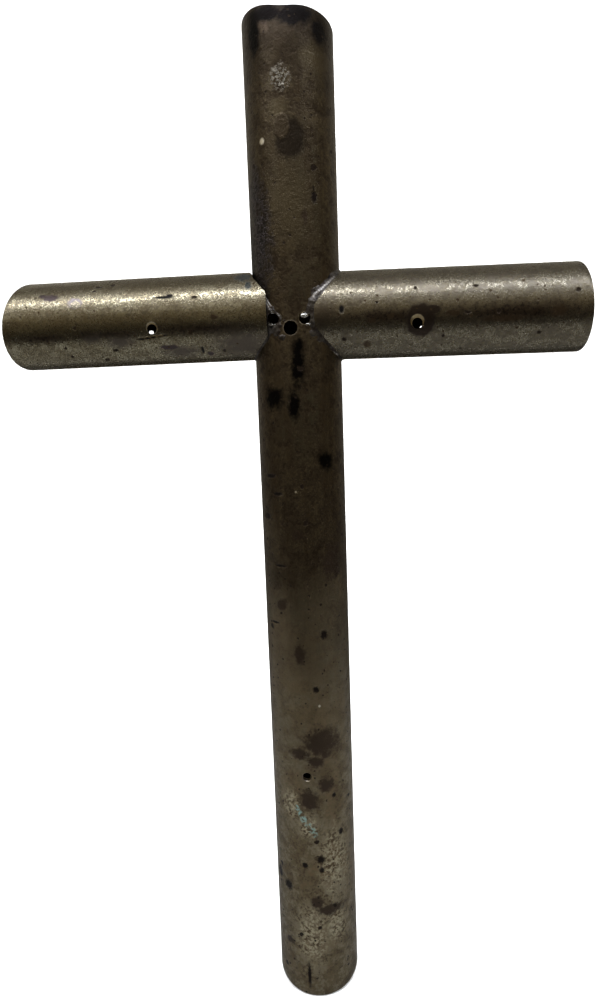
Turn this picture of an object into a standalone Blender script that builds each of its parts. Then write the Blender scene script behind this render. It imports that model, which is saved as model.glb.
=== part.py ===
# A cross of three round brass tubes, the two arms saddle-cut and soldered to the upright.
# The front faces -Y and the head points up +Z. The origin is at the back of the crossing, so that the
# tubes' axes lie one upright radius in front of it. Metres throughout, angles in degrees.
import math

import bmesh
import bpy
from mathutils import Matrix, Vector

# Tube stock
upright_radius = 0.0127
arm_radius = 0.01255
tube_wall = 0.0015
tube_sides = 80
rim_chamfer = 0.0003

# Upright, measured from the crossing of the axes
head_length = 0.07735
foot_length = 0.2102
# A knock has pushed the front of the head's rim inwards and a little down. Its place and half width are
# angles about the axis, from the front towards +X, and it dies away down the tube over its height.
head_dent = {"place": -5.0, "half_width": 24.0, "depth": 0.0013, "drop": 0.0004, "height": 0.0055}
dent_rings = 4

# The plane of each sawn end: how far it leans, longer at the front and longer at the side named
head_cut = {"front": 5.1, "side": -6.3}      # side: towards +X
foot_cut = {"front": 12.0, "side": 0.0}
square_cut = {"front": 0.0, "side": 0.0}

# Arms: length from the upright's axis, height of the arm's axis above the crossing, droop of the outer
# end, where its filed nose stops short of the upright's axis, how near the solder reaches to that axis,
# and the outer end's lean. The left arm's section points up at +X and the right arm's points down, so
# both ends are longer below.
arms = {
    "left": {"side": -1, "length": 0.07997, "lift": 0.0004, "droop": 0.3, "nose": 0.0078,
             "solder_reach": 0.0036, "cut": {"front": 15.5, "side": -8.8}},
    "right": {"side": 1, "length": 0.08035, "lift": -0.0004, "droop": 0.35, "nose": 0.0054,
              "solder_reach": 0.0007, "cut": {"front": 2.9, "side": 3.0}},
}

# Both saddles were filed a little askew: they are turned about their arm, with the front nose low
saddle_turn = 9.0

# Solder seams
fit_gap = 0.0003             # clearance between touching solids
root_gap = 0.0010            # between the arm's saddle and the upright, filled with solder
bead_height = 0.0007         # solder standing proud of the arm
bead_reach = 0.0020          # how far it runs out along the arm from the upright's surface

# Drilled holes: place on the front surface, diameter, and where the drill came out of the back wall
# relative to where it went in; a hole with no back was drilled through the front wall only
upright_holes = {
    "centre": {"x": -0.00125, "z": -0.00457, "bore": 0.0035},
    "left_pin": {"x": -0.0060, "z": -0.0018, "bore": 0.0028},
    "right_pin": {"x": 0.00275, "z": -0.0021, "bore": 0.0029},
    "foot_screw": {"x": -0.0012, "z": -0.1380, "bore": 0.0026, "back": (0.0, 0.0)},
}
arm_holes = {
    "left": {"out": 0.0403, "z": -0.0032, "bore": 0.0029, "back": (-0.0068, 0.0016)},
    "right": {"out": 0.0337, "z": -0.0047, "bore": 0.0032, "back": (0.0038, 0.0012)},
}
hole_sides = 24


def clear_scene():
    for obj in list(bpy.data.objects):
        bpy.data.objects.remove(obj, do_unlink=True)


def metal(name, color, roughness):
    mat = bpy.data.materials.new(name)
    mat.use_nodes = True
    shader = mat.node_tree.nodes["Principled BSDF"]
    shader.inputs["Base Color"].default_value = (*color, 1.0)
    shader.inputs["Metallic"].default_value = 1.0
    shader.inputs["Roughness"].default_value = roughness
    return mat


def add_object(name, mesh, mat=None):
    obj = bpy.data.objects.new(name, mesh)
    bpy.context.scene.collection.objects.link(obj)
    if mat:
        mesh.materials.append(mat)
    return obj


def end_height(level, cut, x, y):
    """Height of a sawn end's plane over the point x, y of the tube's section; front is -y."""
    return level - y * math.tan(math.radians(cut["front"])) + x * math.tan(math.radians(cut["side"]))


def tube_mesh(name, outer, inner, stations):
    """A tube along Z. Each station, from the low end to the high one, has a level and a plane's slopes."""
    bm = bmesh.new()
    rings = []
    outside = [(outer, station) for station in stations]
    inside = [(inner, station) for station in reversed(stations)]
    for radius, (level, cut) in outside + inside:
        ring = []
        for i in range(tube_sides):
            turn = 2 * math.pi * i / tube_sides
            x = radius * math.cos(turn)
            y = radius * math.sin(turn)
            ring.append(bm.verts.new((x, y, end_height(level, cut, x, y))))
        rings.append(ring)
    for k, ring in enumerate(rings):
        above = rings[(k + 1) % len(rings)]
        for i in range(tube_sides):
            j = (i + 1) % tube_sides
            bm.faces.new((ring[i], ring[j], above[j], above[i]))
    bmesh.ops.recalc_face_normals(bm, faces=bm.faces)
    mesh = bpy.data.meshes.new(name)
    bm.to_mesh(mesh)
    bm.free()
    return mesh


def rod_mesh(name, radius, start, end, sides):
    """A closed rod from start to end."""
    span = Vector(end) - Vector(start)
    turn = span.to_track_quat("Z", "Y").to_matrix().to_4x4()
    middle = Matrix.Translation((Vector(start) + Vector(end)) / 2)
    bm = bmesh.new()
    bmesh.ops.create_cone(bm, cap_ends=True, segments=sides, radius1=radius, radius2=radius,
                          depth=span.length, matrix=middle @ turn)
    mesh = bpy.data.meshes.new(name)
    bm.to_mesh(mesh)
    bm.free()
    return mesh


def cutter(name, mesh):
    obj = add_object(name, mesh)
    obj.hide_render = True
    obj.display_type = "WIRE"
    return obj


def boolean(obj, tool, operation):
    mod = obj.modifiers.new(tool.name, "BOOLEAN")
    mod.operation = operation
    mod.solver = "EXACT"
    mod.object = tool


def chamfer_rims(obj):
    mod = obj.modifiers.new("rim chamfer", "BEVEL")
    mod.width = rim_chamfer
    mod.segments = 1
    mod.limit_method = "ANGLE"
    mod.angle_limit = math.radians(40)


def smooth_round(mesh):
    mesh.shade_smooth()
    mesh.set_sharp_from_angle(angle=math.radians(30))


# The tubes' axes cross here
crossing = Vector((0.0, -upright_radius, 0.0))


def arm_matrix(arm):
    """Turns a tube along Z into the arm: its Z runs outwards and its -Y stays the front."""
    turn = math.radians(arm["side"] * (90 + arm["droop"]))
    return Matrix.Translation(crossing + Vector((0, 0, arm["lift"]))) @ Matrix.Rotation(turn, 4, "Y")


def front_depth(radius, offset):
    """How far in front of a tube's axis its surface lies, offset to the side of that axis."""
    return math.sqrt(radius ** 2 - offset ** 2)


def hole_cutter(name, x, z, hole, radius, offset):
    """A drill through the front wall, or through both walls where the hole has a back."""
    depth = front_depth(radius, offset)
    entry = Vector((x, crossing.y - depth, z))
    if "back" in hole:
        shift = Vector((hole["back"][0], 2 * depth, hole["back"][1]))
    else:
        shift = Vector((0.0, depth, 0.0))
    before = entry - shift.normalized() * 2 * tube_wall
    after = entry + shift
    if "back" in hole:
        after += shift.normalized() * 2 * tube_wall
    return cutter(name, rod_mesh(name, hole["bore"] / 2, before, after, hole_sides))


def dent_head(mesh):
    """Pushes the front of the head's rim inwards, on a mesh that still stands on the tube's axis."""
    for vert in mesh.vertices:
        x, y, z = vert.co
        below = end_height(head_length, head_cut, x, y) - z
        turn = math.degrees(math.atan2(x, -y)) - head_dent["place"]
        share = math.exp(-(turn / head_dent["half_width"]) ** 2 - (below / head_dent["height"]) ** 2)
        shrink = 1 - share * head_dent["depth"] / upright_radius
        vert.co = (x * shrink, y * shrink, z - share * head_dent["drop"])


def make_upright(mat, drills):
    stations = [(-foot_length, {"front": -foot_cut["front"], "side": -foot_cut["side"]})]
    for i in range(dent_rings, -1, -1):
        below = 2.5 * head_dent["height"] * i / dent_rings
        stations.append((head_length - below, head_cut))
    mesh = tube_mesh("upright_tube", upright_radius, upright_radius - tube_wall, stations)
    dent_head(mesh)
    mesh.transform(Matrix.Translation(crossing))
    upright = add_object("upright_tube", mesh, mat)
    smooth_round(mesh)
    chamfer_rims(upright)
    for drill in drills:
        boolean(upright, drill, "DIFFERENCE")
    return upright


def arm_solid(name, arm, grow):
    """The arm's tube before its saddle is cut, grown all round by grow."""
    stations = [(arm["nose"] - grow, square_cut), (arm["length"] + grow, arm["cut"])]
    mesh = tube_mesh(name, arm_radius + grow, arm_radius - tube_wall - grow, stations)
    mesh.transform(arm_matrix(arm))
    return mesh


def upright_rod(name, radius):
    """A rod about the upright's axis, long enough to pass through both arms."""
    reach = Vector((0, 0, 2 * (arm_radius + bead_reach)))
    return cutter(name, rod_mesh(name, radius, crossing - reach, crossing + reach, tube_sides))


def askew_rod(name, radius, arm):
    """The same rod as the saddle was really filed to, turned about the arm's own axis."""
    reach = Vector((2 * (arm_radius + bead_reach), 0, 0))
    mesh = rod_mesh(name, radius, -reach, reach, tube_sides)
    mesh.transform(arm_matrix(arm) @ Matrix.Rotation(math.radians(arm["side"] * saddle_turn), 4, "Z"))
    return cutter(name, mesh)


def cut_saddle(obj, key, gap):
    boolean(obj, upright_rod(obj.name + "_saddle", upright_radius + gap), "DIFFERENCE")
    boolean(obj, askew_rod(obj.name + "_filing", upright_radius + gap, arms[key]), "DIFFERENCE")


def make_arm(key, mat):
    arm = arms[key]
    mesh = arm_solid(key + "_arm_tube", arm, 0.0)
    tube = add_object(key + "_arm_tube", mesh, mat)
    smooth_round(mesh)
    chamfer_rims(tube)
    cut_saddle(tube, key, root_gap)
    hole = arm_holes[key]
    offset = hole["z"] - arm["lift"]
    drill = hole_cutter(key + "_drill", arm["side"] * hole["out"], hole["z"], hole, arm_radius, offset)
    boolean(tube, drill, "DIFFERENCE")
    return tube


def make_seam(key, mat, drills):
    """Solder between arm and upright: a sleeve round the joint, less both tubes and the arm's bore."""
    arm = arms[key]
    stations = [(arm["solder_reach"], square_cut), (upright_radius + bead_reach + bead_height, square_cut)]
    mesh = tube_mesh(key + "_solder_seam", arm_radius + bead_height, arm_radius - tube_wall, stations)
    mesh.transform(arm_matrix(arm))
    seam = add_object(key + "_solder_seam", mesh, mat)
    smooth_round(mesh)
    boolean(seam, upright_rod(key + "_seam_limit", upright_radius + bead_reach), "INTERSECT")
    boolean(seam, upright_rod(key + "_seam_seat", upright_radius + fit_gap), "DIFFERENCE")
    grown = cutter(key + "_arm_clearance", arm_solid(key + "_arm_clearance", arm, fit_gap))
    cut_saddle(grown, key, root_gap - fit_gap)
    boolean(seam, grown, "DIFFERENCE")
    for drill in drills:
        boolean(seam, drill, "DIFFERENCE")
    return seam


def main():
    clear_scene()
    brass_dark = metal("aged brass, upright", (0.16, 0.12, 0.06), 0.42)
    brass_arm = metal("aged brass, arms", (0.36, 0.29, 0.17), 0.34)
    solder = metal("grey solder", (0.32, 0.32, 0.32), 0.45)
    drills = {}
    for key, hole in upright_holes.items():
        drills[key] = hole_cutter(key + "_drill", hole["x"], hole["z"], hole, upright_radius, hole["x"])
    make_upright(brass_dark, drills.values())
    for key in arms:
        make_arm(key, brass_arm)
        make_seam(key, solder, [drills["centre"], drills[key + "_pin"]])


main()
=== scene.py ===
# Brass cross of three round tubes with soldered joints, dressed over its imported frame.
import math
import bpy
from mathutils import Matrix, Vector, noise


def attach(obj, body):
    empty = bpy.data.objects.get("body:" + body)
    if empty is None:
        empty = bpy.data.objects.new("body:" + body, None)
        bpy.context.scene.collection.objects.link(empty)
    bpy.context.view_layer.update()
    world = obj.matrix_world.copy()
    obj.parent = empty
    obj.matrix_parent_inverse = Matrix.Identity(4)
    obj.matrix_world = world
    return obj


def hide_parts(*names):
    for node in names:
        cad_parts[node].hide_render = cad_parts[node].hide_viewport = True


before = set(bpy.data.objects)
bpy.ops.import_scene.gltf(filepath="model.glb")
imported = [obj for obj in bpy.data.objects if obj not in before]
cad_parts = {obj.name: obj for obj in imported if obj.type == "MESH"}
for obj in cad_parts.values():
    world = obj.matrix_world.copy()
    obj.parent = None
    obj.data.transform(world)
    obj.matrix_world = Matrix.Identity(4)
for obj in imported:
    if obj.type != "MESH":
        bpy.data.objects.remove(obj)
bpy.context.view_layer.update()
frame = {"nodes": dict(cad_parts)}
mm = 0.001
print("frame loaded:", ", ".join(frame["nodes"]))

# What the tubes share with the CAD
tubes = {
    "uprightRadius": 12.7 * mm,
    "armRadius": 12.55 * mm,
    "wall": 1.5 * mm,
    "sides": 160,
    "rimRound": 0.35 * mm,      # sawn rims filed just enough not to cut
}
crossing = Vector((0, -tubes["uprightRadius"], 0))      # the tubes' axes meet here


# Selection and small mesh moves

def deselectAll():
    if bpy.context.object and bpy.context.object.mode == "EDIT":
        bpy.ops.object.mode_set(mode="OBJECT")
    bpy.ops.object.select_all(action="DESELECT")


def pick(obj):
    deselectAll()
    bpy.context.view_layer.objects.active = obj
    obj.select_set(True)
    return obj


def selectWhere(obj, test, kind="VERT"):
    # leaves the object in edit mode with what passes the test selected, by its place
    pick(obj)
    bpy.ops.object.mode_set(mode="EDIT")
    bpy.ops.mesh.select_mode(type=kind)
    bpy.ops.mesh.select_all(action="DESELECT")
    bpy.ops.object.mode_set(mode="OBJECT")
    mesh = obj.data
    if kind == "VERT":
        for v in mesh.vertices:
            v.select = test(v.co)
    elif kind == "EDGE":
        for e in mesh.edges:
            e.select = test(mesh.vertices[e.vertices[0]].co, mesh.vertices[e.vertices[1]].co)
    bpy.ops.object.mode_set(mode="EDIT")


def applyModifier(obj, kind, **settings):
    pick(obj)
    mod = obj.modifiers.new(kind.lower(), kind)
    for name, value in settings.items():
        setattr(mod, name, value)
    bpy.ops.object.modifier_apply(modifier=mod.name)


def placeInMesh(obj):
    pick(obj)
    bpy.ops.object.transform_apply(location=True, rotation=True, scale=True)


def cutWith(obj, tool, operation="DIFFERENCE"):
    applyModifier(obj, "BOOLEAN", object=tool, operation=operation, solver="EXACT")
    bpy.data.objects.remove(tool, do_unlink=True)


def endNormal(frontLean, sideLean):
    # outward normal of a sawn end on a tube that runs up +Z: longer at the front, and at +X
    return Vector((-math.tan(math.radians(sideLean)), math.tan(math.radians(frontLean)), 1)).normalized()


# Tubes

def makeTube(name, radius, low, high, rings):
    # an open-ended tube up +Z about the world's Z axis; low and high are (level, front lean, side lean)
    deselectAll()
    margin = 12 * mm
    bottom, top = low[0] - margin, high[0] + margin
    bpy.ops.mesh.primitive_cylinder_add(vertices=tubes["sides"], radius=radius, depth=top - bottom,
                                        end_fill_type="NOTHING", location=(0, 0, (top + bottom) / 2))
    tube = bpy.context.object
    tube.name = name
    placeInMesh(tube)
    applyModifier(tube, "SOLIDIFY", thickness=tubes["wall"], offset=-1, use_rim=False, use_even_offset=True)

    # saw both ends and close the wall between the outer and inner shells
    for level, frontLean, sideLean, away in ((*low, -1), (*high, 1)):
        normal = endNormal(frontLean * away, sideLean * away) * away
        selectWhere(tube, lambda co: True)
        bpy.ops.mesh.bisect(plane_co=(0, 0, level), plane_no=normal, clear_outer=True, threshold=1e-6)
        bpy.ops.object.mode_set(mode="OBJECT")
        onPlane = lambda co: abs((co - Vector((0, 0, level))).dot(normal)) < 1e-5
        selectWhere(tube, lambda a, b: onPlane(a) and onPlane(b), "EDGE")
        bpy.ops.mesh.bridge_edge_loops()
        bpy.ops.object.mode_set(mode="OBJECT")
        alongRim = lambda a, b: onPlane(a) and onPlane(b) and abs(a.xy.length - b.xy.length) < 0.2 * mm
        selectWhere(tube, alongRim, "EDGE")
        bpy.ops.mesh.bevel(offset=tubes["rimRound"], segments=2, affect="EDGES")
        bpy.ops.object.mode_set(mode="OBJECT")
    for cuts in rings:                      # rings for the dent to bend
        selectWhere(tube, lambda a, b: abs(a.z - b.z) > 2 * mm, "EDGE")
        bpy.ops.mesh.subdivide(number_cuts=cuts)
        bpy.ops.object.mode_set(mode="OBJECT")
    return tube


upright = {
    "head": (77.35 * mm, 5.1, -6.3),        # level of the sawn end, lean to the front, lean to the right
    "foot": (-210.2 * mm, 12.0, 0.0),
    "rings": (80, 1),
    "dentPlace": -5.0,                      # degrees from the front towards +X
    "dentHalfWidth": 24.0,
    "dentDepth": 1.3 * mm,
    "dentDrop": 0.4 * mm,
    "dentHeight": 5.5 * mm,
}


def makeUpright():
    tube = makeTube("uprightTube", tubes["uprightRadius"], upright["foot"], upright["head"], upright["rings"])
    level, frontLean, sideLean = upright["head"]
    for v in tube.data.vertices:            # the knock that pushed in the front of the head's rim
        x, y, z = v.co
        if z < level - 4 * upright["dentHeight"]:
            continue
        planeHeight = level - y * math.tan(math.radians(frontLean)) + x * math.tan(math.radians(sideLean))
        turn = math.degrees(math.atan2(x, -y)) - upright["dentPlace"]
        share = math.exp(-(turn / upright["dentHalfWidth"]) ** 2
                         - ((planeHeight - z) / upright["dentHeight"]) ** 2)
        v.co.xy *= 1 - share * upright["dentDepth"] / tubes["uprightRadius"]
        v.co.z -= share * upright["dentDrop"]
    tube.location = crossing
    placeInMesh(tube)
    return tube


arms = {
    "left": {"side": -1, "end": (79.97 * mm, 15.5, -8.8), "lift": 0.4 * mm, "droop": 0.3, "nose": 7.8 * mm},
    "right": {"side": 1, "end": (80.35 * mm, 2.9, 3.0), "lift": -0.4 * mm, "droop": 0.35, "nose": 5.4 * mm},
    "rings": (60,),
    "rootGap": 0.5 * mm,        # between the saddle and the upright, hidden under solder
    "saddleTurn": 9.0,          # both saddles were filed with the front nose low
}


def armMatrix(arm):
    turn = math.radians(arm["side"] * (90 + arm["droop"]))
    return Matrix.Translation(crossing + Vector((0, 0, arm["lift"]))) @ Matrix.Rotation(turn, 4, "Y")


def filingMatrix(arm):
    # the round file that cut the saddle was held askew; its axis is this frame's X
    return armMatrix(arm) @ Matrix.Rotation(math.radians(arm["side"] * arms["saddleTurn"]), 4, "Z")


def makeRod(name, radius, length, matrix, sides=160):
    deselectAll()
    bpy.ops.mesh.primitive_cylinder_add(vertices=sides, radius=radius, depth=length)
    rod = bpy.context.object
    rod.name = name
    rod.matrix_world = matrix
    placeInMesh(rod)
    return rod


def makeArm(key):
    arm = arms[key]
    tube = makeTube(key + "ArmTube", tubes["armRadius"], (arm["nose"], 0, 0), arm["end"], arms["rings"])
    tube.matrix_world = armMatrix(arm)
    placeInMesh(tube)
    gap = tubes["uprightRadius"] + arms["rootGap"]
    cutWith(tube, makeRod("saddle", gap, 60 * mm, Matrix.Translation(crossing)))
    cutWith(tube, makeRod("filing", gap, 60 * mm, filingMatrix(arm) @ Matrix.Rotation(math.pi / 2, 4, "Y")))
    return tube


# Places of marks, in mm, for the finishes and small cuts

def onUpright(x, z, half, soft=0.3):
    # a mark on the upright's front: across, up, half sizes across and up, softness of its edge
    radius = tubes["uprightRadius"] / mm
    depth = crossing.y / mm - math.sqrt(radius ** 2 - min(abs(x), radius) ** 2)
    return (x, depth, z), (half[0], 5 + half[0], half[1]), soft


def onArm(out, turn, half, soft=0.3):
    # a mark on an arm: out from the crossing (left is minus), turned up round the tube from the front
    arm = arms["left" if out < 0 else "right"]
    radius = tubes["armRadius"] / mm
    level = arm["lift"] / mm - abs(out) * math.tan(math.radians(arm["droop"]))
    a = math.radians(turn)
    place = (out, crossing.y / mm - radius * math.cos(a), level + radius * math.sin(a))
    lean = abs(math.sin(a)) * half[1]       # the tube's curve carries a tall mark back
    return place, (half[0], half[1] + 0.3, max(half[1] * math.cos(a), 0.3) + 0.3 * lean), soft


# Drilled holes: entry on the front, bore, and how far the drill had wandered where it left the back wall
drills = {
    "centre": {"x": -1.25 * mm, "z": -4.57 * mm, "bore": 3.9 * mm, "lip": 0.14 * mm},
    "leftPin": {"x": -6.0 * mm, "z": -1.8 * mm, "bore": 3.0 * mm, "lip": 0.14 * mm},
    "rightPin": {"x": 2.75 * mm, "z": -2.1 * mm, "bore": 3.15 * mm, "lip": 0.14 * mm},
    "foot": {"x": -1.2 * mm, "z": -138.0 * mm, "bore": 2.6 * mm, "lip": 0.14 * mm, "back": (0, 0)},
    "leftArm": {"x": -40.3 * mm, "z": -3.2 * mm, "bore": 2.9 * mm, "lip": 0.2 * mm,
                "back": (-6.8 * mm, 1.6 * mm), "backBore": 1.25 * mm},
    "rightArm": {"x": 33.7 * mm, "z": -4.7 * mm, "bore": 3.2 * mm, "lip": 0.12 * mm,
                 "back": (4.0 * mm, 1.0 * mm), "backBore": 1.2 * mm},
}


def frontDepth(name):
    # how far in front of its tube's axis a hole enters the brass
    offset = drills[name]["z"] if "Arm" in name else drills[name]["x"]
    radius = tubes["armRadius"] if "Arm" in name else tubes["uprightRadius"]
    return math.sqrt(radius ** 2 - offset ** 2)


def makeDrill(name):
    hole, depth = drills[name], frontDepth(name)
    entry = Vector((hole["x"], crossing.y - depth, hole["z"]))
    back = hole.get("back")
    run = Vector((back[0], 2 * depth, back[1])) if back else Vector((0, depth, 0))
    start = entry - run.normalized() * 3 * mm
    end = entry + run + (run.normalized() * 3 * mm if back else Vector())
    turn = (end - start).to_track_quat("Z", "Y").to_matrix().to_4x4()
    deselectAll()
    # the bit broke out at the back before it had cut its full width
    backBore = hole.get("backBore", hole["bore"])
    bpy.ops.mesh.primitive_cone_add(vertices=40, radius1=hole["bore"] / 2, radius2=backBore / 2,
                                    depth=(end - start).length)
    bit = bpy.context.object
    bit.name = name
    bit.matrix_world = Matrix.Translation((start + end) / 2) @ turn
    placeInMesh(bit)
    return bit


def makeCountersink(name):
    # the burred lip that the drill left round the entry of each hole
    hole, depth = drills[name], frontDepth(name)
    lip, above = hole["lip"], 1 * mm
    deselectAll()
    bpy.ops.mesh.primitive_cone_add(vertices=40, radius1=hole["bore"] / 2 + lip + above,
                                    radius2=hole["bore"] / 2, depth=lip + above)
    cone = bpy.context.object
    cone.rotation_euler.x = -math.pi / 2
    cone.location = (hole["x"], crossing.y - depth + (lip - above) / 2, hole["z"])
    placeInMesh(cone)
    return cone


# A slip of the file below the left arm's hole; its ends are out from the crossing in mm, degrees up
gouge = {"from": (-45.0, -29), "to": (-36.0, -24), "wide": 0.45 * mm, "deep": 0.4 * mm}


def makeGouge():
    # a thin pointed spindle cuts it
    a, b = (Vector(onArm(*end, (1, 1))[0]) * mm for end in (gouge["from"], gouge["to"]))
    deselectAll()
    bpy.ops.mesh.primitive_uv_sphere_add(segments=24, ring_count=16, radius=1)
    spindle = bpy.context.object
    spindle.scale = (gouge["deep"], gouge["wide"], (b - a).length / 2)
    spindle.rotation_euler = (b - a).to_track_quat("Z", "Y").to_euler()
    spindle.location = (a + b) / 2
    placeInMesh(spindle)
    return spindle


# Solder: one skin over both tubes, raised along the seam and sunk under the brass away from it

solder = {
    "voxel": 0.32 * mm,
    "smoothRounds": 10,
    "sink": 0.22 * mm,          # how far the skin lies under the tubes away from the seam
    "rise": 0.11 * mm,          # how far it stands over them at the seam
    "lumpSize": 2.2 * mm,       # ripples of solder that froze as it ran
    "fade": 0.14 * mm,          # over how far the rise dies away at its edge
    "deep": 1.1 * mm,           # how far the shell reaches in below the tubes' skins
    "boreStart": 12 * mm,       # where the arm's bore opens the shell, out from the crossing
    "collar": {"left": 0.7 * mm, "right": 1.0 * mm},        # how far it stands out past the filed arm
    # spread to each side of the seam, above and below the arm's middle
    "spread": {"left": (0.34 * mm, 0.20 * mm), "right": (0.60 * mm, 0.45 * mm)},
    "stop": (-6.3 * mm, 1.06 * mm),         # a point on the steep line where the left seam's skin stops
    "stopLean": 35.0,                       # that line's lean from upright, degrees
}
# Runs and beads that left the seam: across and up on the upright's front, and reach, in mm
solderRuns = {
    "left": ((-5.3, -5.4, 1.3), (-3.8, -7.0, 1.0), (-6.3, 0.5, 0.7), (-4.4, -3.9, 0.5)),
    "right": ((6.4, 5.6, 1.1), (5.2, 2.8, 1.1), (4.5, -3.7, 0.9), (5.2, -6.0, 1.2), (6.6, -8.0, 0.8)),
}


def pastStop(co, key):
    # how far a point lies to the upper right of the left seam's stop line
    if key == "right":
        return -1
    lean = math.radians(solder["stopLean"])
    x, z = solder["stop"]
    return (co.x - x) * math.cos(lean) + (co.z - z) * math.sin(lean)


def filedRadius(key):
    # the skin's own saddle, which stands out past the filed arm by the collar
    return tubes["uprightRadius"] + arms["rootGap"] - solder["collar"][key]


def fadeOut(way):
    # 1 well inside an edge and 0 well outside it
    return 1 / (1 + math.exp(min(40, way / solder["fade"])))


def makeSolder(key, holes):
    arm = arms[key]
    skin = makeRod(key + "Solder", tubes["uprightRadius"], 44 * mm, Matrix.Translation(crossing), 120)
    inner = (arm["nose"] + 0.3 * mm + 30 * mm) / 2
    stub = makeRod("stub", tubes["armRadius"], 30 * mm,
                   armMatrix(arm) @ Matrix.Translation((0, 0, inner)), 120)
    filed = filedRadius(key)
    cutWith(stub, makeRod("filing", filed, 60 * mm, filingMatrix(arm) @ Matrix.Rotation(math.pi / 2, 4, "Y")))
    if key == "left":
        deselectAll()
        bpy.ops.mesh.primitive_cube_add(size=1)
        beyond = bpy.context.object
        lean = math.radians(solder["stopLean"])
        x, z = solder["stop"]
        beyond.scale = (40 * mm, 60 * mm, 60 * mm)
        beyond.rotation_euler.y = -lean
        beyond.location = (x + 20 * mm * math.cos(lean), crossing.y, z + 20 * mm * math.sin(lean))
        placeInMesh(beyond)
        cutWith(stub, beyond)
    cutWith(skin, stub, "UNION")
    applyModifier(skin, "REMESH", mode="VOXEL", voxel_size=solder["voxel"], adaptivity=0)
    applyModifier(skin, "SMOOTH", factor=0.6, iterations=solder["smoothRounds"])
    deep, reach = solder["deep"], 60 * mm
    cutWith(skin, makeRod("bore", tubes["uprightRadius"] - deep, reach, Matrix.Translation(crossing), 120))
    pastCrossing = Matrix.Translation((0, 0, reach / 2 + solder["boreStart"]))
    cutWith(skin, makeRod("armBore", tubes["armRadius"] - deep, reach, armMatrix(arm) @ pastCrossing, 120))
    deselectAll()
    bpy.ops.mesh.primitive_cube_add(size=1)
    keep = bpy.context.object
    outer = tubes["uprightRadius"] + 3 * mm
    keep.scale = (outer, 34 * mm, 30 * mm)
    keep.location = crossing + Vector((arm["side"] * outer / 2, 0, 0))
    placeInMesh(keep)
    cutWith(skin, keep, "INTERSECT")
    for hole in holes:
        cutWith(skin, makeDrill(hole))
    raiseAlongSeam(skin, key)
    return skin


def raiseAlongSeam(skin, key):
    arm = arms[key]
    intoArm, intoFiling = armMatrix(arm).inverted(), filingMatrix(arm).inverted()
    filed = filedRadius(key)
    over, under = solder["spread"][key]
    moved = []
    for v in skin.data.vertices:
        inArm = intoArm @ v.co
        fromUpright = (v.co - crossing).xy.length - tubes["uprightRadius"]
        fromArm = max(inArm.xy.length - tubes["armRadius"], arm["nose"] - inArm.z,
                      filed - (intoFiling @ v.co).yz.length, pastStop(v.co, key))
        away = max(fromUpright, fromArm)
        if away < -0.5 * mm:                # the side that faces into the tubes stays
            moved.append(v.co.copy())
            continue
        ripple = noise.noise(v.co / solder["lumpSize"])
        upper = min(1, max(0, 0.5 + v.co.z / (6 * mm)))
        wander = noise.noise(v.co / (2.6 * mm) + Vector((7, 3, 1)))
        spread = (under + (over - under) * upper) * (1 + 0.8 * wander)
        share = fadeOut(away - spread)
        if v.co.y < crossing.y:
            for x, z, reach in solderRuns[key]:
                gapTo = Vector((v.co.x - x * mm, v.co.z - z * mm)).length
                gapTo += 0.7 * mm * noise.noise(v.co / (1.1 * mm))
                share = max(share, fadeOut(gapTo - reach * mm))
        moved.append(v.co + v.normal * (share * solder["rise"] * (1 + 1.2 * ripple)
                                        - (1 - share) * solder["sink"]))
    for v, co in zip(skin.data.vertices, moved):
        v.co = co


# A lump that ran into the right pin hole, and small beads by the rims: across, up, half sizes in mm
solderBeads = {
    "leftSolder": ((-6.1, -0.25, (0.5, 0.25, 0.25)), (-2.9, -2.6, (0.35, 0.15, 0.3))),
    "rightSolder": ((2.7, -1.35, (1.25, 0.75, 0.72)), (3.6, -3.75, (0.65, 0.3, 0.3))),
}


def addBeads(piece, name):
    for x, z, half in solderBeads[name]:
        deselectAll()
        bpy.ops.mesh.primitive_ico_sphere_add(subdivisions=4, radius=1)
        bead = bpy.context.object
        bead.scale = [h * mm for h in half]
        sunk = 0.3 * mm if half[1] > 0.5 else 0         # the big lump lies deeper
        bead.location = Vector(onUpright(x, z, (1, 1))[0]) * mm + Vector((0, sunk, 0))
        placeInMesh(bead)
        for v in bead.data.vertices:
            v.co += v.normal * 0.12 * mm * noise.noise(v.co / (0.5 * mm))
        deselectAll()
        bead.select_set(True)
        piece.select_set(True)
        bpy.context.view_layer.objects.active = piece
        bpy.ops.object.join()


print("modelling the tubes")
pieces = {"uprightTube": makeUpright(), "leftArmTube": makeArm("left"), "rightArmTube": makeArm("right")}
print("modelling the solder")
pieces["leftSolder"] = makeSolder("left", ("leftPin", "centre"))
pieces["rightSolder"] = makeSolder("right", ("rightPin", "centre"))
for name in solderBeads:
    addBeads(pieces[name], name)

print("drilling")
holesIn = {
    "uprightTube": ("centre", "leftPin", "rightPin", "foot"),
    "leftArmTube": ("leftArm",),
    "rightArmTube": ("rightArm",),
}
for name, holes in holesIn.items():
    for hole in holes:
        cutWith(pieces[name], makeDrill(hole))
        cutWith(pieces[name], makeCountersink(hole))
cutWith(pieces["leftArmTube"], makeGouge())
for name, piece in pieces.items():
    pick(piece)
    bpy.ops.object.shade_smooth_by_angle(angle=math.radians(35))
    print("   ", name, len(piece.data.polygons), "faces")


# Finishes

def linear(hexColour):
    # sRGB hex to the linear values that shaders work in
    values = [int(hexColour[i:i + 2], 16) / 255 for i in (1, 3, 5)]
    return tuple(v / 12.92 if v <= 0.04045 else ((v + 0.055) / 1.055) ** 2.4 for v in values) + (1.0,)


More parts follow.
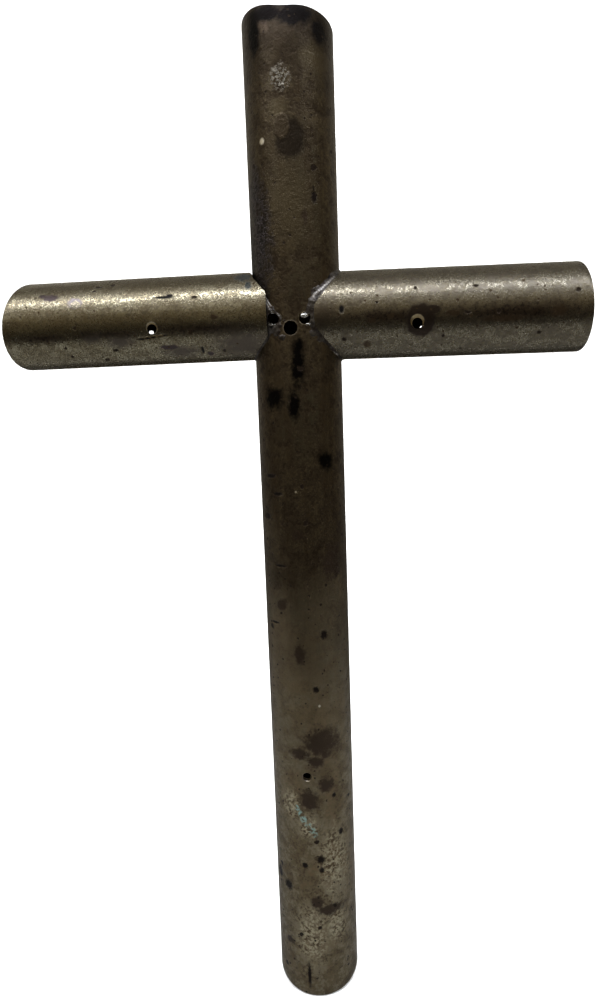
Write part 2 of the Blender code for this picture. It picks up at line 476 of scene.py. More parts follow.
def addNode(tree, kind, inputs=None, **settings):
    # an input that is given a socket is linked to it, and any other value is set on it
    node = tree.nodes.new("ShaderNode" + kind)
    for name, value in settings.items():
        setattr(node, name, value)
    for name, value in (inputs or {}).items():
        if isinstance(value, bpy.types.NodeSocket):
            tree.links.new(value, node.inputs[name])
        else:
            node.inputs[name].default_value = value
    return node


def newMaterial(name):
    mat = bpy.data.materials.new(name)
    mat.use_nodes = True
    tree = mat.node_tree
    return mat, tree, tree.nodes["Principled BSDF"]


def millimetres(tree):
    place = addNode(tree, "TexCoord").outputs["Object"]
    return addNode(tree, "VectorMath", {0: place, "Scale": 1000}, operation="SCALE").outputs[0]


def cloud(tree, at, size, low, high, detail=4, stretch=(1, 1, 1), shift=0):
    # 0 to 1 in soft patches about size mm across, drawn out where stretch is more than 1
    placed = addNode(tree, "Mapping", {"Vector": at, "Location": (shift, 2 * shift, -shift),
                                       "Scale": [1 / (size * k) for k in stretch]}).outputs[0]
    field = addNode(tree, "TexNoise", {"Vector": placed, "Scale": 1, "Detail": detail, "Roughness": 0.6})
    return addNode(tree, "MapRange", {0: field.outputs[0], 1: low, 2: high}).outputs[0]


def specks(tree, at, spacing, size, share, shift=0):
    # a share of the cells holds a speck, and each speck has its own size, in mm
    jitter = addNode(tree, "TexNoise", {"Vector": at, "Scale": 1.1 / size, "Detail": 2}).outputs["Color"]
    moved = addNode(tree, "VectorMath", {0: jitter, 1: (size * 0.9,) * 3, 2: at}, operation="MULTIPLY_ADD")
    shifted = addNode(tree, "VectorMath", {0: moved.outputs[0], 1: (shift, shift, shift)})
    cells = addNode(tree, "TexVoronoi", {"Vector": shifted.outputs[0], "Scale": 1 / spacing})
    chance = addNode(tree, "SeparateXYZ", {0: cells.outputs["Color"]})
    reach = addNode(tree, "MapRange", {0: chance.outputs[0], 1: 1 - share, 2: 1, 3: 0, 4: size / spacing / 2})
    inside = addNode(tree, "Math", {0: reach.outputs[0], 1: cells.outputs["Distance"]}, operation="SUBTRACT")
    return addNode(tree, "MapRange", {0: inside.outputs[0], 1: 0, 2: 0.1 * size / spacing}).outputs[0]


def patches(tree, at, places, wobble, ripple):
    # places: (point, half sizes, softness); ripple is the size of the wobbles in the edge, all in mm
    edge = addNode(tree, "TexNoise", {"Vector": at, "Scale": 1 / ripple, "Detail": 5, "Roughness": 0.65})
    strongest = None
    for point, half, soft in places:
        centred = addNode(tree, "Mapping", {"Vector": at, "Location": [-c / h for c, h in zip(point, half)],
                                            "Scale": [1 / h for h in half]}).outputs[0]
        way = addNode(tree, "VectorMath", {0: centred}, operation="LENGTH").outputs["Value"]
        way = addNode(tree, "Math", {0: edge.outputs[0], 1: 2 * wobble, 2: way},
                      operation="MULTIPLY_ADD").outputs[0]
        mask = addNode(tree, "MapRange", {0: way, 1: 1 + wobble - soft, 2: 1 + wobble + soft, 3: 1, 4: 0})
        strongest = mask.outputs[0] if strongest is None else addNode(
            tree, "Math", {0: strongest, 1: mask.outputs[0]}, operation="MAXIMUM").outputs[0]
    return strongest


def findMarks(tree, at, marks, edges, placed):
    # one mask for each kind of mark, where edges holds its wobble, its ripple in mm and its softness
    found = {}
    for kind, (wobble, ripple, soft) in edges.items():
        places = [placed(a, b, (w, h), soft) for a, b, w, h in marks[kind]]
        found[kind] = patches(tree, at, places, wobble, ripple)
    return found


def layUp(tree, shader, layers, relief):
    # layers: (mask, colour, roughness, metallic), each over those before; relief: (height field, mm)
    _, colour, rough, metal = layers[0]
    colour = linear(colour)
    for mask, over, overRough, overMetal in layers[1:]:
        colour = addNode(tree, "Mix", {0: mask, 6: colour, 7: linear(over)}, data_type="RGBA").outputs[2]
        rough = addNode(tree, "Mix", {0: mask, 2: rough, 3: overRough}).outputs[0]
        metal = addNode(tree, "Mix", {0: mask, 2: metal, 3: overMetal}).outputs[0]
    height = 0.0
    for field, size in relief:
        height = addNode(tree, "Math", {0: field, 1: size, 2: height}, operation="MULTIPLY_ADD").outputs[0]
    bump = addNode(tree, "Bump", {"Height": height, "Strength": 1, "Distance": 0.001}).outputs[0]
    for name, socket in (("Base Color", colour), ("Roughness", rough), ("Metallic", metal), ("Normal", bump)):
        tree.links.new(socket, shader.inputs[name])


def armLevel(tree, at):
    # how high the arms' axes lie, in mm: each arm starts a little off the crossing and droops
    reach = 80          # about an arm's length
    out = addNode(tree, "SeparateXYZ", {0: at}).outputs[0]
    level = 0.0
    for key in ("left", "right"):
        side, lift = arms[key]["side"], arms[key]["lift"] / mm
        drop = reach * math.tan(math.radians(arms[key]["droop"]))
        step = addNode(tree, "MapRange", {0: out, 1: -side, 2: side, 3: 0, 4: lift}).outputs[0]
        slope = addNode(tree, "MapRange", {0: out, 1: 0, 2: reach * side, 3: 0, 4: -drop}).outputs[0]
        both = addNode(tree, "Math", {0: step, 1: slope}).outputs[0]
        level = addNode(tree, "Math", {0: both, 1: level}).outputs[0]
    return level


# How far below a tube's skin the finish turns to cut brass, and then to the bore's dirt: from and to, in mm
depths = {"cut": (0.08, 0.25), "bore": (1.15, 1.45)}


def wallDepth(tree, at, axis, radius):
    # 1 on cut brass below the skin, and 1 inside the bore, by the way from the tube's axis
    flat = {"Z": (1, 1, 0), "X": (0, 1, 1)}[axis]
    if axis == "X":
        onAxis = addNode(tree, "CombineXYZ", {1: crossing.y / mm, 2: armLevel(tree, at)}).outputs[0]
    else:
        onAxis = (0, crossing.y / mm, 0)
    moved = addNode(tree, "VectorMath", {0: at, 1: onAxis}, operation="SUBTRACT").outputs[0]
    across = addNode(tree, "VectorMath", {0: moved, 1: flat}, operation="MULTIPLY").outputs[0]
    way = addNode(tree, "VectorMath", {0: across}, operation="LENGTH").outputs["Value"]
    return [addNode(tree, "MapRange", {0: way, 1: radius - full, 2: radius - start, 3: 1, 4: 0}).outputs[0]
            for start, full in (depths["cut"], depths["bore"])]


# Marks on the upright: across, up, half width, half height, in mm
uprightMarks = {
    "blued": ((-9.4, 19.5, 3.3, 12), (-10.4, 31, 2.2, 7)),
    "soot": ((0.5, -14.5, 1.8, 6.5), (7.4, -42.1, 2.0, 2.6), (-6.5, -23.7, 2.7, 2.8),
             (-8.5, 72.3, 1.6, 5), (-12.2, 14, 1.2, 12), (-1.0, -26, 1.6, 4), (0.9, -9.5, 1.2, 2)),
    # painted shade: dark patches over the dent at the front of the head's rim
    "paintedDentShade": ((2.5, 75.6, 5.0, 3.0), (-5.0, 76.5, 5.0, 2.2), (9, 72, 2, 3)),
    "brown": ((3.7, -127.3, 5.1, 4.8), (-3.1, -130.7, 2.8, 1.6), (1.7, -133.1, 2.4, 1.9),
              (4.5, -141.0, 2.1, 2.3), (4.5, -182.9, 4.0, 1.7), (0.8, -180.2, 1.9, 2.1),
              (8.3, -71.9, 2.6, 5.1), (-1.3, -63.3, 2.0, 1.5), (3.8, 24.8, 0.8, 1.8),
              (-0.8, -145.5, 2.8, 3.3), (-2.0, -99.3, 1.5, 3.1)),
    "pits": ((6.4, 29.9, 0.7, 1.6), (8.6, -158.0, 0.6, 1.0), (6.8, -145.0, 0.6, 0.7),
             (-8.4, -176.2, 1.2, 1.6), (2.2, -165.6, 1.2, 1.3), (-2.8, -167.5, 0.9, 0.9),
             (-8.7, -46.0, 1.4, 0.6), (-6.7, -51.2, 1.4, 0.5), (-10.3, -58.1, 0.9, 1.0),
             (-6.7, -72.5, 1.6, 0.4), (5.3, -93.5, 1.0, 1.3), (-9.1, -90.2, 1.2, 0.4),
             (-11.1, -173.9, 0.7, 1.9), (-2.6, -205.7, 0.5, 4.3), (2.4, -169.1, 0.8, 1.0),
             (2.4, -110.2, 0.9, 1.0)),
    "pale": ((6.2, -167.3, 4.0, 11), (-1.1, -191.4, 4.6, 10), (-6.6, -147.6, 2.3, 4.1),
             (-1.1, -154.1, 2.8, 3.6), (6.2, -189.1, 3.0, 5.5)),
    "worn": ((7.5, 64.5, 3.0, 3.4), (0.5, 28, 5, 9), (-2.5, 52.5, 2.2, 2.2)),
    "solderFlake": ((-1.8, 60.0, 2.4, 2.9),),
    # nicks in the skin, painted near-white as painted highlights
    "nickGlints": ((-7.3, 45.1, 0.6, 0.8), (3.3, -115.4, 0.35, 0.4), (-1.4, -50.5, 0.3, 0.3)),
    "burnRing": ((0.5, 44.7, 4.0, 5.2),),
    "burnRingMiddle": ((-1.7, 47.9, 2.1, 3.1),),
    "verdigris": ((-4.6, -148.6, 0.7, 0.9), (-3.6, -150.5, 0.7, 1.0), (-2.6, -152.2, 1.1, 1.2),
                  (-1.4, -154.0, 0.9, 1.0), (-0.2, -155.6, 1.0, 1.0), (0.8, -157.0, 0.7, 0.8)),
    "lips": ((-1.25, -4.57, 2.15, 2.15), (-6.0, -1.8, 1.68, 1.7), (2.75, -2.1, 1.75, 1.75),
             (-1.2, -138.0, 1.5, 1.5)),
}
# How the edge of each kind wanders: wobble, ripple in mm, softness
uprightEdges = {
    "soot": (0.9, 1.8, 0.35), "paintedDentShade": (0.7, 2.0, 0.3), "blued": (0.9, 2.2, 0.6),
    "lips": (0.12, 0.6, 0.1), "brown": (1.1, 1.5, 0.3), "pits": (0.7, 0.6, 0.3),
    "pale": (0.9, 2.0, 0.5), "worn": (0.9, 2.5, 0.6), "solderFlake": (0.6, 0.8, 0.3),
    "nickGlints": (0.2, 0.5, 0.3), "burnRing": (0.4, 1.5, 0.2), "burnRingMiddle": (0.3, 1.5, 0.12),
    "verdigris": (0.9, 0.6, 0.3),
}


def uprightBrass():
    # drawn brass tube, tarnished to a brown-black skin that is lighter towards the foot: partly rubbed thin,
    # partly a painted reflection of the lit floor
    mat, tree, shader = newMaterial("tarnishedBrassUpright")
    at = millimetres(tree)
    height = addNode(tree, "SeparateXYZ", {0: at}).outputs[2]
    edge = cloud(tree, at, 16, 0.25, 0.75, 4, shift=3)
    lowered = addNode(tree, "Math", {0: edge, 1: -50, 2: height}, operation="MULTIPLY_ADD").outputs[0]
    # lighter towards the foot: partly patina rubbed thin, partly a painted reflection of the lit floor
    rubbedAndSheen = addNode(tree, "MapRange", {0: lowered, 1: -85, 2: -190}).outputs[0]
    streaks = cloud(tree, at, 2.6, 0.46, 0.66, 3, (1, 1, 14))
    olive = cloud(tree, at, 15, 0.44, 0.60, 6, (1, 1, 1.6))
    mottle = cloud(tree, at, 3.4, 0.47, 0.565, 8, shift=31)
    crumbs = cloud(tree, at, 0.9, 0.45, 0.57, 4, shift=13)
    grit = cloud(tree, at, 0.5, 0.2, 0.8, 3)
    pores = specks(tree, at, 1.7, 0.9, 0.6)
    pits = specks(tree, at, 5.5, 2.0, 0.45, shift=9)
    blots = specks(tree, at, 14, 6.0, 0.4, shift=17)
    cut, bore = wallDepth(tree, at, "Z", tubes["uprightRadius"] / mm)
    belowDent = addNode(tree, "MapRange", {0: height, 1: 64, 2: 66, 3: 1, 4: 0}).outputs[0]
    cut = addNode(tree, "Math", {0: cut, 1: belowDent}, operation="MULTIPLY").outputs[0]
    nearHead = addNode(tree, "MapRange", {0: height, 1: 52, 2: 72, 3: 0, 4: 0.85}).outputs[0]
    found = findMarks(tree, at, uprightMarks, uprightEdges, onUpright)
    crumbled = addNode(tree, "Math", {0: found["pale"], 1: crumbs}, operation="MULTIPLY").outputs[0]
    flaked = addNode(tree, "Math", {0: found["solderFlake"], 1: crumbs}, operation="MULTIPLY").outputs[0]
    bluedCrumbs = addNode(tree, "Math", {0: found["blued"], 1: crumbs}, operation="MULTIPLY").outputs[0]
    verdigrisCrumbs = addNode(
        tree, "Math", {0: found["verdigris"], 1: crumbs}, operation="MULTIPLY").outputs[0]
    lowMottle = addNode(tree, "Math", {0: rubbedAndSheen, 1: mottle}, operation="MULTIPLY").outputs[0]
    lowCrumbs = addNode(tree, "Math", {0: rubbedAndSheen, 1: crumbs}, operation="MULTIPLY").outputs[0]
    warm = cloud(tree, at, 9, 0.46, 0.58, 6, (1, 1, 2), shift=41)
    grain = cloud(tree, at, 0.7, 0.46, 0.56, 3, shift=5)
    lowWarm = addNode(tree, "Math", {0: rubbedAndSheen, 1: warm}, operation="MULTIPLY").outputs[0]
    lowGrain = addNode(tree, "Math", {0: lowMottle, 1: grain}, operation="MULTIPLY").outputs[0]
    layUp(tree, shader, (
        (None, "#5e5340", 0.30, 0.97),
        (olive, "#4f4838", 0.36, 0.97),
        (streaks, "#453929", 0.32, 0.95),
        (mottle, "#382e22", 0.40, 0.95),
        (crumbs, "#473d2e", 0.38, 0.95),
        (nearHead, "#31291f", 0.36, 0.95),
        # partly worn patina, partly painted reflection of the lit floor
        (rubbedAndSheen, "#8f856e", 0.34, 0.97),
        (lowWarm, "#7d6b51", 0.36, 0.97),
        (lowMottle, "#6a5c47", 0.42, 0.95),
        (lowGrain, "#5b4f3d", 0.42, 0.95),
        (lowCrumbs, "#75694f", 0.40, 0.95),
        (crumbled, "#bdb294", 0.40, 0.95),
        (found["worn"], "#584e3b", 0.34, 0.97),
        (found["burnRing"], "#2b241b", 0.42, 0.95),
        (found["burnRingMiddle"], "#4a4032", 0.34, 0.97),
        (found["brown"], "#453a2f", 0.30, 0.95),
        (blots, "#453a2e", 0.36, 0.95),
        (found["blued"], "#2a2725", 0.36, 0.97),
        (bluedCrumbs, "#4d4645", 0.42, 0.97),
        (found["soot"], "#0f0c09", 0.45, 0.97),
        # painted shade in the dent at the head
        (found["paintedDentShade"], "#120e0b", 0.5, 0.9),
        (pores, "#2c231a", 0.55, 0.9),
        (pits, "#2a2119", 0.5, 0.9),
        (found["pits"], "#1f1813", 0.5, 0.9),
        (verdigrisCrumbs, "#9fbdb4", 0.5, 0.9),
        (flaked, "#948d7d", 0.36, 0.97),
        # nicks with a painted highlight, whiter than bare cut brass
        (found["nickGlints"], "#efe6cf", 0.3, 1.0),
        (found["lips"], "#8d8271", 0.33, 1.0),
        (cut, "#b5a27c", 0.33, 1.0),
        (bore, "#2b231a", 0.7, 0.5),
    ), ((mottle, -0.03), (grit, 0.04), (crumbs, 0.015), (pores, -0.03), (pits, -0.06), (blots, -0.015),
        (crumbled, 0.06), (flaked, 0.12), (bluedCrumbs, 0.06), (found["pits"], -0.12),
        (found["burnRing"], -0.05), (found["burnRingMiddle"], 0.08)))
    return mat


# Marks on the arms: out from the crossing in mm, degrees up from the front, half length, half height in mm
armMarks = {
    "purple": ((-69.3, 32, 2.3, 1.1), (-24.9, -57, 1.0, 0.9), (-36.4, -42, 2.6, 0.7), (-71.6, 35, 1.2, 0.7)),
    # brown haze, and painted shade on the left arm's underside near the crossing
    "hazeAndShade": ((-50, -31, 3.6, 1.8), (-57.9, -24, 2.8, 1.5), (-15, -42, 8, 5), (8, -8, 3, 3), (-33, -50, 5, 2)),
    # painted shade: darkens the band below the arms' middle where they mirror the dim room
    "shadeBand": ((60, -10, 18, 2.1), (26, -9, 9, 1.5), (-72, -22, 7, 1.0), (-26, -18, 12, 1.2),
             (-54, -20, 9, 0.9)),
    "paleRing": ((-62.0, 22, 2.0, 1.6),),
    "paleRingMiddle": ((-61.9, 20, 1.5, 1.1),),
    "black": ((-36.5, 24, 2.6, 0.35), (-26.9, -49, 0.4, 1.4), (13.0, 1, 0.7, 1.1),
              (-34.9, 26, 1.0, 0.4), (-43.6, -28.2, 1.5, 0.26), (-42.0, -27.3, 1.5, 0.34),
              (-40.4, -26.4, 1.5, 0.34), (-38.8, -25.5, 1.5, 0.28), (-37.2, -24.7, 1.3, 0.2)),
    "pits": ((-65.3, -50, 0.4, 0.5), (-66.3, -36, 0.4, 0.4), (-20.7, -52, 0.5, 0.6), (-56.9, 40, 0.8, 0.4),
             (-55.8, 48, 1.2, 0.5), (-51.9, 51, 0.7, 0.7), (-52.0, -43, 0.8, 0.4), (-27.9, 22, 0.8, 0.4),
             (13.5, -37, 0.7, 0.5), (33.3, 25, 0.4, 0.4), (40.9, -37, 0.4, 0.4), (49.6, 25, 0.8, 0.3),
             (76.7, 14, 0.7, 0.6), (67.0, -37, 0.5, 0.5), (22.7, 8, 0.4, 0.3), (55.6, -8, 0.6, 0.6),
             (47.3, -8, 0.8, 0.4)),
    "brown": ((-22.5, -5, 1.1, 0.8), (26.5, -9, 1.0, 0.8), (21.3, -14, 1.1, 0.7),
              (20.0, -46, 1.1, 1.1), (57.3, -17, 5.9, 0.9), (43.3, -8, 2.2, 0.8), (71.8, -10, 2.1, 1.6)),
    "burnRing": ((34.6, -16, 4.0, 4.5), (37.6, -3, 2.4, 1.2)),
    "verdigris": ((-14.5, 54, 2.4, 2.2), (-12.8, 36, 0.9, 1.6)),
    "lips": ((-40.3, -15, 1.62, 1.62),),
}
armEdges = {
    "hazeAndShade": (1.0, 1.5, 0.6), "shadeBand": (1.2, 1.6, 0.7), "purple": (0.7, 0.9, 0.25),
    "paleRing": (0.45, 1.0, 0.2), "paleRingMiddle": (0.45, 1.0, 0.2), "black": (0.4, 0.5, 0.3),
    "pits": (0.7, 0.5, 0.3), "brown": (0.9, 1.2, 0.3), "burnRing": (0.2, 1.5, 0.12),
    "lips": (0.1, 0.6, 0.1), "verdigris": (0.9, 0.7, 0.3),
}


def armBrass():
    # the same tube, handled more: the brown skin is rubbed back to golden brass that the light finds
    mat, tree, shader = newMaterial("rubbedBrassArms")
    at = millimetres(tree)
    streaks = cloud(tree, at, 2.4, 0.48, 0.66, 3, (12, 1, 1))
    brownish = cloud(tree, at, 13, 0.46, 0.60, 6, (2, 1, 1))
    mottle = cloud(tree, at, 3.0, 0.46, 0.58, 8, shift=11)
    crumbs = cloud(tree, at, 0.8, 0.50, 0.62, 4, shift=23)
    grit = cloud(tree, at, 0.45, 0.2, 0.8, 3)
    across = addNode(tree, "SeparateXYZ", {0: at}).outputs[0]
    # the right arm is darker and rougher
    dulled = addNode(tree, "MapRange", {0: across, 1: -4, 2: 4}).outputs[0]
    dulledMottle = addNode(tree, "Math", {0: dulled, 1: mottle}, operation="MULTIPLY").outputs[0]
    pores = specks(tree, at, 1.8, 0.9, 0.55)
    pits = specks(tree, at, 6.5, 1.9, 0.4, shift=9)
    cut, bore = wallDepth(tree, at, "X", tubes["armRadius"] / mm)
    found = findMarks(tree, at, armMarks, armEdges, onArm)
    verdigrisCrumbs = addNode(
        tree, "Math", {0: found["verdigris"], 1: crumbs}, operation="MULTIPLY").outputs[0]
    grain = cloud(tree, at, 0.75, 0.52, 0.60, 4, shift=5)
    grains = addNode(tree, "Math", {0: grain, 1: 0.6}, operation="MULTIPLY").outputs[0]
    shadeBandGrains = addNode(tree, "Math", {0: found["shadeBand"], 1: grain}, operation="MULTIPLY").outputs[0]
    layUp(tree, shader, (
        (None, "#a39a80", 0.17, 1.0),
        (brownish, "#8d8269", 0.21, 1.0),
        (streaks, "#857b63", 0.21, 1.0),
        (mottle, "#7e735b", 0.26, 1.0),
        (dulled, "#8b826e", 0.24, 1.0),
        (dulledMottle, "#746b5b", 0.30, 1.0),
        (crumbs, "#7b715b", 0.34, 1.0),
        (grains, "#5f5645", 0.36, 1.0),
        # painted shade deepening the dark band below the arms' middle, broken up by grain
        (found["shadeBand"], "#51463a", 0.34, 1.0),
        (shadeBandGrains, "#2a221a", 0.5, 0.97),
        # brown haze, and painted shade under the left arm by the crossing
        (found["hazeAndShade"], "#655c50", 0.30, 1.0),
        (found["paleRing"], "#7a706c", 0.30, 1.0),
        (found["paleRingMiddle"], "#8f8571", 0.24, 1.0),
        (found["purple"], "#4c423f", 0.32, 0.97),
        (found["brown"], "#4b3e2e", 0.40, 0.95),
        (found["burnRing"], "#3b322a", 0.34, 0.95),
        (pores, "#4a3d2c", 0.5, 0.95),
        (pits, "#3a2f22", 0.5, 0.95),
        (found["pits"], "#2b2219", 0.5, 0.9),
        (found["verdigris"], "#54544e", 0.45, 0.97),
        (verdigrisCrumbs, "#303b3a", 0.55, 0.9),
        (found["lips"], "#cfc6b0", 0.30, 1.0),
        (cut, "#b5a27c", 0.33, 1.0),
        (found["black"], "#171310", 0.5, 0.8),
        (bore, "#2b231a", 0.7, 0.5),
    ), ((mottle, -0.012), (grit, 0.022), (crumbs, 0.015), (pores, -0.03), (pits, -0.06),
        (found["pits"], -0.1), (found["black"], -0.12), (verdigrisCrumbs, 0.06)))
    return mat


def along(points, step, half):
    # marks set close together along a line, so that they run into one
    marks = []
    for (x0, z0), (x1, z1) in zip(points, points[1:]):
        count = max(1, round(math.hypot(x1 - x0, z1 - z0) / step))
        marks += [(x0 + (x1 - x0) * k / count, z0 + (z1 - z0) * k / count, half, half) for k in range(count)]
    return marks


# Places on the solder: across, up, half width, half height, in mm
solderMarks = {
    "shadow": ((-7.9, -1.5, 0.55, 5.5), (-6.6, -3.9, 0.6, 0.5), (9.6, 9.3, 0.6, 0.6)),
    # painted highlight: a lighter line along the seams
    "seamHighlight": (*along(((-13.2, 11.0), (-11.5, 8.3), (-9.9, 5.8), (-8.3, 3.7), (-6.4, 1.1)), 0.8, 0.5),
                 *along(((11.2, 9.3), (8.6, 6.7), (5.8, 4.3), (5.0, 3.2)), 0.8, 0.36),
                 *along(((6.6, -9.0), (9.7, -11.3), (12.0, -12.3)), 0.8, 0.4)),
    # painted highlights on the solder beads and on the lump in the right pin hole
    "beadGlint": ((2.7, -1.3, 1.35, 0.85), (3.6, -3.75, 0.75, 0.4), (-6.1, -0.25, 0.6, 0.35),
              (-6.4, -3.4, 0.9, 0.25)),
}
solderEdges = {"shadow": (0.5, 1.0, 0.4), "seamHighlight": (0.5, 0.7, 0.4), "beadGlint": (0.2, 0.6, 0.3)}


def softSolder():
    # tin-lead solder, wiped and dulled: grey-brown and lumpy, with a painted highlight along the seam where
    # it stops on the upright and painted highlights on its beads
    mat, tree, shader = newMaterial("dullTinSolder")
    at = millimetres(tree)
    tarnish = cloud(tree, at, 2.0, 0.42, 0.58, 5)
    grit = cloud(tree, at, 0.4, 0.2, 0.8, 3)
    pits = specks(tree, at, 1.6, 0.7, 0.5)
    found = findMarks(tree, at, solderMarks, solderEdges, onUpright)
    layUp(tree, shader, (
        (None, "#59544e", 0.34, 0.97),
        (tarnish, "#352e28", 0.40, 0.95),
        (pits, "#1f1b18", 0.6, 0.9),
        # painted highlight along the seams
        (found["seamHighlight"], "#968f85", 0.30, 0.97),
        (found["shadow"], "#14110f", 0.55, 0.9),
        # painted highlights on the beads
        (found["beadGlint"], "#b4b1a8", 0.26, 0.97),
    ), ((tarnish, -0.06), (grit, 0.03), (pits, -0.06)))
    return mat


print("finishes")
arm, tin = armBrass(), softSolder()
finishes = {"uprightTube": uprightBrass(), "leftArmTube": arm, "rightArmTube": arm,
            "leftSolder": tin, "rightSolder": tin}
standsFor = {
    "uprightTube": ("upright_tube", "upright_brass"),
    "leftArmTube": ("left_arm_tube", "arm_brass"),
    "rightArmTube": ("right_arm_tube", "arm_brass"),
    "leftSolder": ("left_solder_seam", "solder"),
    "rightSolder": ("right_solder_seam", "solder"),
}
for name, piece in pieces.items():
    piece.data.materials.clear()
    piece.data.materials.append(finishes[name])
    node, slot = standsFor[name]
    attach(piece, "root")
    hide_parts(node)


# Floor, backdrop, light and camera
print("stage")
stage = {
    "floorLevel": -213.2 * mm,
    "depthBehind": 0.75,
    "depthFront": 0.55,
    "halfWidth": 1.6,
    "height": 1.6,
    "bend": 0.25,
}


def makeSweep():
    # a floor that turns up into the backdrop: a strip extruded back, bent up and on
    deselectAll()
    bpy.ops.mesh.primitive_plane_add(size=1, location=(0, 0, stage["floorLevel"]))
    sweep = bpy.context.object
    sweep.name = "paleSweep"
    sweep.scale = (2 * stage["halfWidth"], stage["depthFront"] + stage["depthBehind"] - stage["bend"], 1)
    sweep.location.y = (stage["depthBehind"] - stage["bend"] - stage["depthFront"]) / 2
    placeInMesh(sweep)
    steps = 12
    for i in range(steps):
        a, b = (math.pi / 2 * k / steps for k in (i, i + 1))
        edgeAt = max(v.co.y for v in sweep.data.vertices)
        top = max(v.co.z for v in sweep.data.vertices)
        selectWhere(sweep, lambda co: co.y > edgeAt - 1e-6 and co.z > top - 1e-6)
        move = (0, stage["bend"] * (math.sin(b) - math.sin(a)), stage["bend"] * (math.cos(a) - math.cos(b)))
        bpy.ops.mesh.extrude_region_move(TRANSFORM_OT_translate={"value": move})
        bpy.ops.object.mode_set(mode="OBJECT")
    top = max(v.co.z for v in sweep.data.vertices)
    selectWhere(sweep, lambda co: co.z > top - 1e-6)
    bpy.ops.mesh.extrude_region_move(TRANSFORM_OT_translate={"value": (0, 0, stage["height"])})
    bpy.ops.object.mode_set(mode="OBJECT")
    selectWhere(sweep, lambda co: True)
    bpy.ops.mesh.normals_make_consistent(inside=False)
    bpy.ops.object.mode_set(mode="OBJECT")
    bpy.ops.object.shade_smooth_by_angle(angle=math.radians(40))
    return sweep


sweep = makeSweep()
mat, tree, shader = newMaterial("mattPaper")
at = millimetres(tree)
fibre = cloud(tree, at, 60, 0.3, 0.7)
layUp(tree, shader, ((None, "#f6f6f5", 0.9, 0.0), (fibre, "#f3f3f2", 0.92, 0.0)), ((fibre, 0.02),))
sweep.data.materials.append(mat)
sweep.visible_glossy = False        # the real one was shot in a dim room, so the tubes don't mirror the paper


def addAreaLight(name, at, size, power, aim, mirrored, colour="#ffffff"):
    deselectAll()
    bpy.ops.object.light_add(type="AREA", location=at)
    light = bpy.context.object
    light.name = name
    light.data.shape = "RECTANGLE"
    light.data.size, light.data.size_y = size
    light.data.energy = power
    light.data.color = linear(colour)[:3]
    light.rotation_euler = (Vector(aim) - Vector(at)).to_track_quat("-Z", "Y").to_euler()
    light.visible_camera = False
    light.visible_glossy = mirrored
    return light


def overFront(reach, rise, across):
    # a place high in front of the arms, and the point of the arms that it faces
    a = math.radians(rise)
    return (across, crossing.y - reach * math.cos(a), reach * math.sin(a)), (across, crossing.y, 0)


# a narrow window in a pale ceiling, high in front, draws the long lights on the arms;
# it is brightest on the left
for name, reach, rise, across, size, power, colour in (
        ("window", 0.78, 58, -0.37, (0.90, 0.05), 3.6, "#e6eeff"),
        ("windowFarPart", 0.78, 58, 0.43, (0.70, 0.05), 2.0, "#dbe6ff"),
        ("paleCeiling", 0.85, 55, -0.52, (1.2, 1.0), 1.7, "#f4f6ff"),
        ("paleCeilingFarPart", 0.85, 55, 0.58, (1.0, 1.0), 1.05, "#eaf0ff")):
    at, aim = overFront(reach, rise, across)
    addAreaLight(name, at, size, power, aim, True, colour)
addAreaLight("wallLeft", (-0.7, 0.50, 0.1), (0.85, 1.4), 0.34, crossing, True, "#f4f6ff")
addAreaLight("wallRight", (0.75, 0.75, 0.1), (0.8, 1.4), 0.25, crossing, True, "#f4f6ff")
addAreaLight("paperWashHigh", (0, 0.0, 1.5), (2.0, 0.8), 42, (0, 0.45, 0.0), False)
addAreaLight("paperWashLow", (0, -0.9, 0.9), (2.0, 0.8), 20, (0, 0.6, 0.3), False)

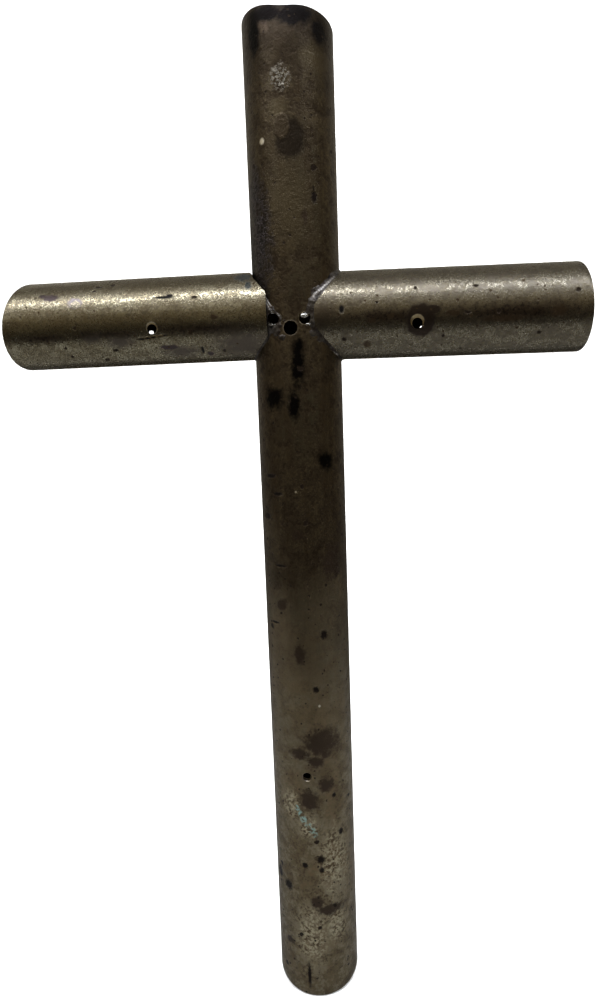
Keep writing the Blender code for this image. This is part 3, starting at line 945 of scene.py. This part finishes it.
# the table top that the foot and the arms' undersides mirror; its front edge is close before the cross
deselectAll()
bpy.ops.mesh.primitive_plane_add(size=1, location=(-0.05, -0.035, stage["floorLevel"] + 0.1 * mm))
table = bpy.context.object
table.name = "mirroredTable"
table.scale = (0.9, 0.36, 1)
placeInMesh(table)
mat, tree, shader = newMaterial("greyCloth")
at = millimetres(tree)
folds = cloud(tree, at, 40, 0.3, 0.7)
layUp(tree, shader, ((None, "#676869", 0.9, 0.0), (folds, "#5c5d5f", 0.9, 0.0)), ((folds, 0.02),))
table.data.materials.append(mat)
table.visible_camera = table.visible_diffuse = table.visible_shadow = False

# The dim room that the tubes mirror, by how high each ray looks
world = bpy.data.worlds.new("dimRoom")
bpy.context.scene.world = world
world.use_nodes = True
tree = world.node_tree
look = addNode(tree, "TexCoord").outputs["Generated"]
rise = addNode(tree, "SeparateXYZ", {0: look})
level = addNode(tree, "MapRange", {0: rise.outputs[2], 1: -1, 2: 1}).outputs[0]
ramp = addNode(tree, "ValToRGB", {0: level})
stops = ((0.0, "#41403e"), (0.2, "#3a3833"), (0.32, "#3f3b33"), (0.45, "#5f594c"), (0.55, "#857c6a"),
         (0.7, "#97907f"), (0.87, "#8d8a83"), (1.0, "#8d8c8a"))
while len(ramp.color_ramp.elements) < len(stops):
    ramp.color_ramp.elements.new(0.5)
for element, (where, colour) in zip(ramp.color_ramp.elements, stops):
    element.position = where
    element.color = linear(colour)
seen = addNode(tree, "LightPath").outputs["Is Camera Ray"]
shown = addNode(tree, "Mix", {0: seen, 6: ramp.outputs[0], 7: (1, 1, 1, 1)}, data_type="RGBA").outputs[2]
tree.links.new(shown, tree.nodes["Background"].inputs["Color"])
bpy.context.scene.view_settings.view_transform = "Standard"

# Where a phone took the photo, about 20 cm from the crossing, fitted to it; its turn in degrees
photoView = {"place": (12.05 * mm, -218.0 * mm, -25.6 * mm), "turn": (81.974, 2.046, 3.464), "lens": 24.48}
bpy.ops.object.camera_add(location=photoView["place"],
                          rotation=[math.radians(a) for a in photoView["turn"]])
camera = bpy.context.object
camera.name = "photoCamera"
camera.data.sensor_width = 36
camera.data.lens = photoView["lens"]
camera.data.clip_start = 0.01
bpy.context.scene.camera = camera

print("done")
